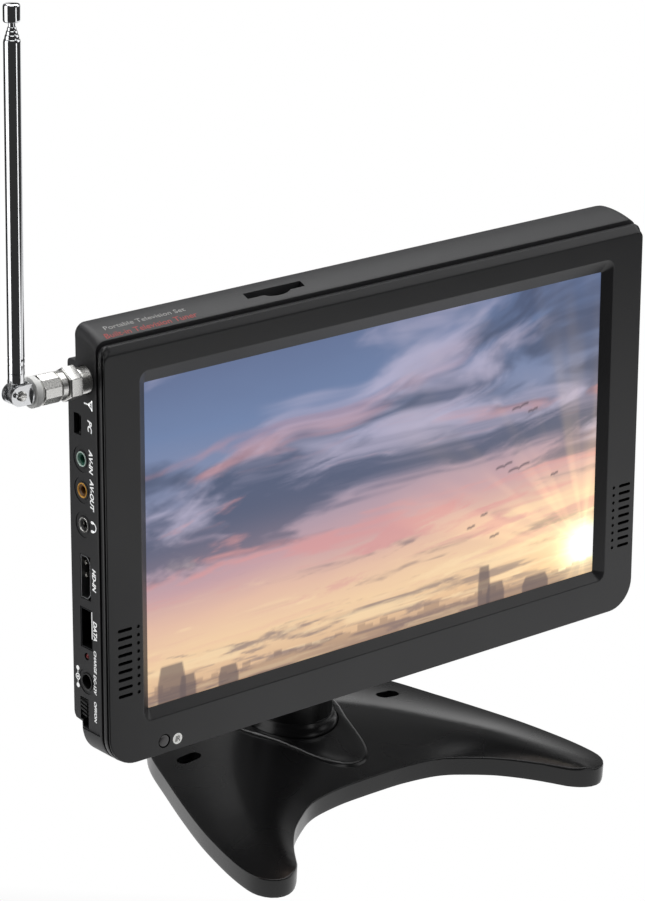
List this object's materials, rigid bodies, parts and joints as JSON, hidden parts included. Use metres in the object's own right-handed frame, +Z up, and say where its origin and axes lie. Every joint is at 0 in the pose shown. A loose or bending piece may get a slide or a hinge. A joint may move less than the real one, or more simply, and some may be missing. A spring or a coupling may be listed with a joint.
{
  "type": "portable television",
  "caption": "Slim portable flat-panel television on a swivelling, tilting boomerang-shaped desk stand, with a side telescopic antenna, side sockets and a top card slot.",
  "frame": {"origin": "on the surface that the stand rests on, under the centre of the stand's post, at the underside of the central foot pad", "axes": "+Z up; the screen faces -Y, leaning back 4 degrees at rest; +X to the right as seen from the front, so the sockets and antenna are at -X"},
  "size_m": [0.2951, 0.1361, 0.334],
  "materials": {
    "bezel": "semi-gloss black moulding",
    "case": "fine matt texture, charcoal",
    "stand": "satin black moulding",
    "display": "lit display with a procedural sunset sky",
    "ir_window": "dark infrared window",
    "chrome": "polished chrome plate",
    "nickel": "nickel plate",
    "grey_plastic": "grey moulding",
    "steel": "zinc-plated steel",
    "rubber": "matt rubber",
    "circuit_board": "solder mask",
    "battery_wrap": "heat-shrink film",
    "tinplate": "tinned steel",
    "led_lens": "red lens",
    "socket_green": "green socket insert",
    "socket_orange": "orange socket insert",
    "insulator": "black insulating plastic"
  },
  "bodies": {
    "base": {"base_shell": "stand", "base_plate": "steel", "foot_centre": "rubber", "foot_tip_left": "rubber", "foot_tip_right": "rubber", "foot_back_left": "rubber", "foot_back_right": "rubber"},
    "column": {"post": "stand", "swivel_washer": "steel", "tilt_bolt": "steel", "tilt_nut": "steel"},
    "set": {"front_bezel": "bezel", "rear_shell": "case", "lcd_panel": "display", "ir_window": "ir_window", "tilt_bracket": "stand", "jack_av_in": "socket_green", "jack_av_out": "socket_orange", "jack_headphones": "nickel", "jack_power_in": "insulator", "port_hd": "nickel", "port_data": "nickel", "port_pc": "insulator", "charge_led": "led_lens", "card_reader": "tinplate", "main_board": "circuit_board", "tuner_can": "tinplate", "battery_pack": "battery_wrap", "speaker_left": "insulator", "speaker_right": "insulator", "antenna_socket": "nickel", "antenna_nut": "nickel", "bracket_screw_1": "steel", "bracket_screw_2": "steel", "bracket_screw_3": "steel", "bracket_screw_4": "steel"},
    "power_switch": {"power_slider": "insulator"},
    "key_power": {"button_power": "case"},
    "key_source": {"button_source": "case"},
    "key_menu": {"button_menu": "case"},
    "key_channel_up": {"button_channel_up": "case"},
    "key_channel_down": {"button_channel_down": "case"},
    "key_volume_up": {"button_volume_up": "case"},
    "key_volume_down": {"button_volume_down": "case"},
    "antenna_plug": {"antenna_grip": "nickel", "antenna_ring": "grey_plastic", "antenna_fork": "chrome", "elbow_pin": "nickel"},
    "mast_section_1": {"mast_1": "chrome"},
    "mast_section_2": {"mast_2": "chrome"},
    "mast_section_3": {"mast_3": "chrome"},
    "mast_section_4": {"mast_4": "chrome"},
    "mast_section_5": {"mast_5": "chrome"}
  },
  "joints": [
    {"name": "stand_swivel", "type": "hinge", "parent": "base", "child": "column", "pos_m": [0, 0, 0.0106], "axis": [0, 0, 1], "range_deg": [-90, 90]},
    {"name": "screen_tilt", "type": "hinge", "parent": "column", "child": "set", "pos_m": [0, 0.002, 0.104], "axis": [1, 0, 0], "range_deg": [-16, 8]},
    {"name": "power_slide", "type": "slide", "parent": "set", "child": "power_switch", "axis": [0, 0.0698, 0.9976], "range_m": [-0.004, 0]},
    {"name": "press_power", "type": "slide", "parent": "set", "child": "key_power", "axis": [-1, 0, 0], "range_m": [0, 0.0007], "stiffness_N_per_m": 600, "springref_m": -0.0005},
    {"name": "press_source", "type": "slide", "parent": "set", "child": "key_source", "axis": [-1, 0, 0], "range_m": [0, 0.0007], "stiffness_N_per_m": 600, "springref_m": -0.0005},
    {"name": "press_menu", "type": "slide", "parent": "set", "child": "key_menu", "axis": [-1, 0, 0], "range_m": [0, 0.0007], "stiffness_N_per_m": 600, "springref_m": -0.0005},
    {"name": "press_channel_up", "type": "slide", "parent": "set", "child": "key_channel_up", "axis": [-1, 0, 0], "range_m": [0, 0.0007], "stiffness_N_per_m": 600, "springref_m": -0.0005},
    {"name": "press_channel_down", "type": "slide", "parent": "set", "child": "key_channel_down", "axis": [-1, 0, 0], "range_m": [0, 0.0007], "stiffness_N_per_m": 600, "springref_m": -0.0005},
    {"name": "press_volume_up", "type": "slide", "parent": "set", "child": "key_volume_up", "axis": [-1, 0, 0], "range_m": [0, 0.0007], "stiffness_N_per_m": 600, "springref_m": -0.0005},
    {"name": "press_volume_down", "type": "slide", "parent": "set", "child": "key_volume_down", "axis": [-1, 0, 0], "range_m": [0, 0.0007], "stiffness_N_per_m": 600, "springref_m": -0.0005},
    {"name": "antenna_turn", "type": "hinge", "parent": "set", "child": "antenna_plug", "pos_m": [-0.147, -0.03203, 0.19557], "axis": [1, 0, 0], "continuous": true},
    {"name": "antenna_elbow", "type": "hinge", "parent": "antenna_plug", "child": "mast_section_1", "pos_m": [-0.1594, -0.032, 0.19607], "axis": [0, 0.9976, -0.0698], "range_deg": [-90, 0]},
    {"name": "mast_slide_1", "type": "slide", "parent": "mast_section_1", "child": "mast_section_2", "axis": [0.0136, 0.0697, 0.9975], "range_m": [0, 0.105]},
    {"name": "mast_slide_2", "type": "slide", "parent": "mast_section_2", "child": "mast_section_3", "axis": [0.0136, 0.0697, 0.9975], "range_m": [0, 0.105]},
    {"name": "mast_slide_3", "type": "slide", "parent": "mast_section_3", "child": "mast_section_4", "axis": [0.0136, 0.0697, 0.9975], "range_m": [0, 0.105]},
    {"name": "mast_slide_4", "type": "slide", "parent": "mast_section_4", "child": "mast_section_5", "axis": [0.0136, 0.0697, 0.9975], "range_m": [0, 0.105]}
  ]
}
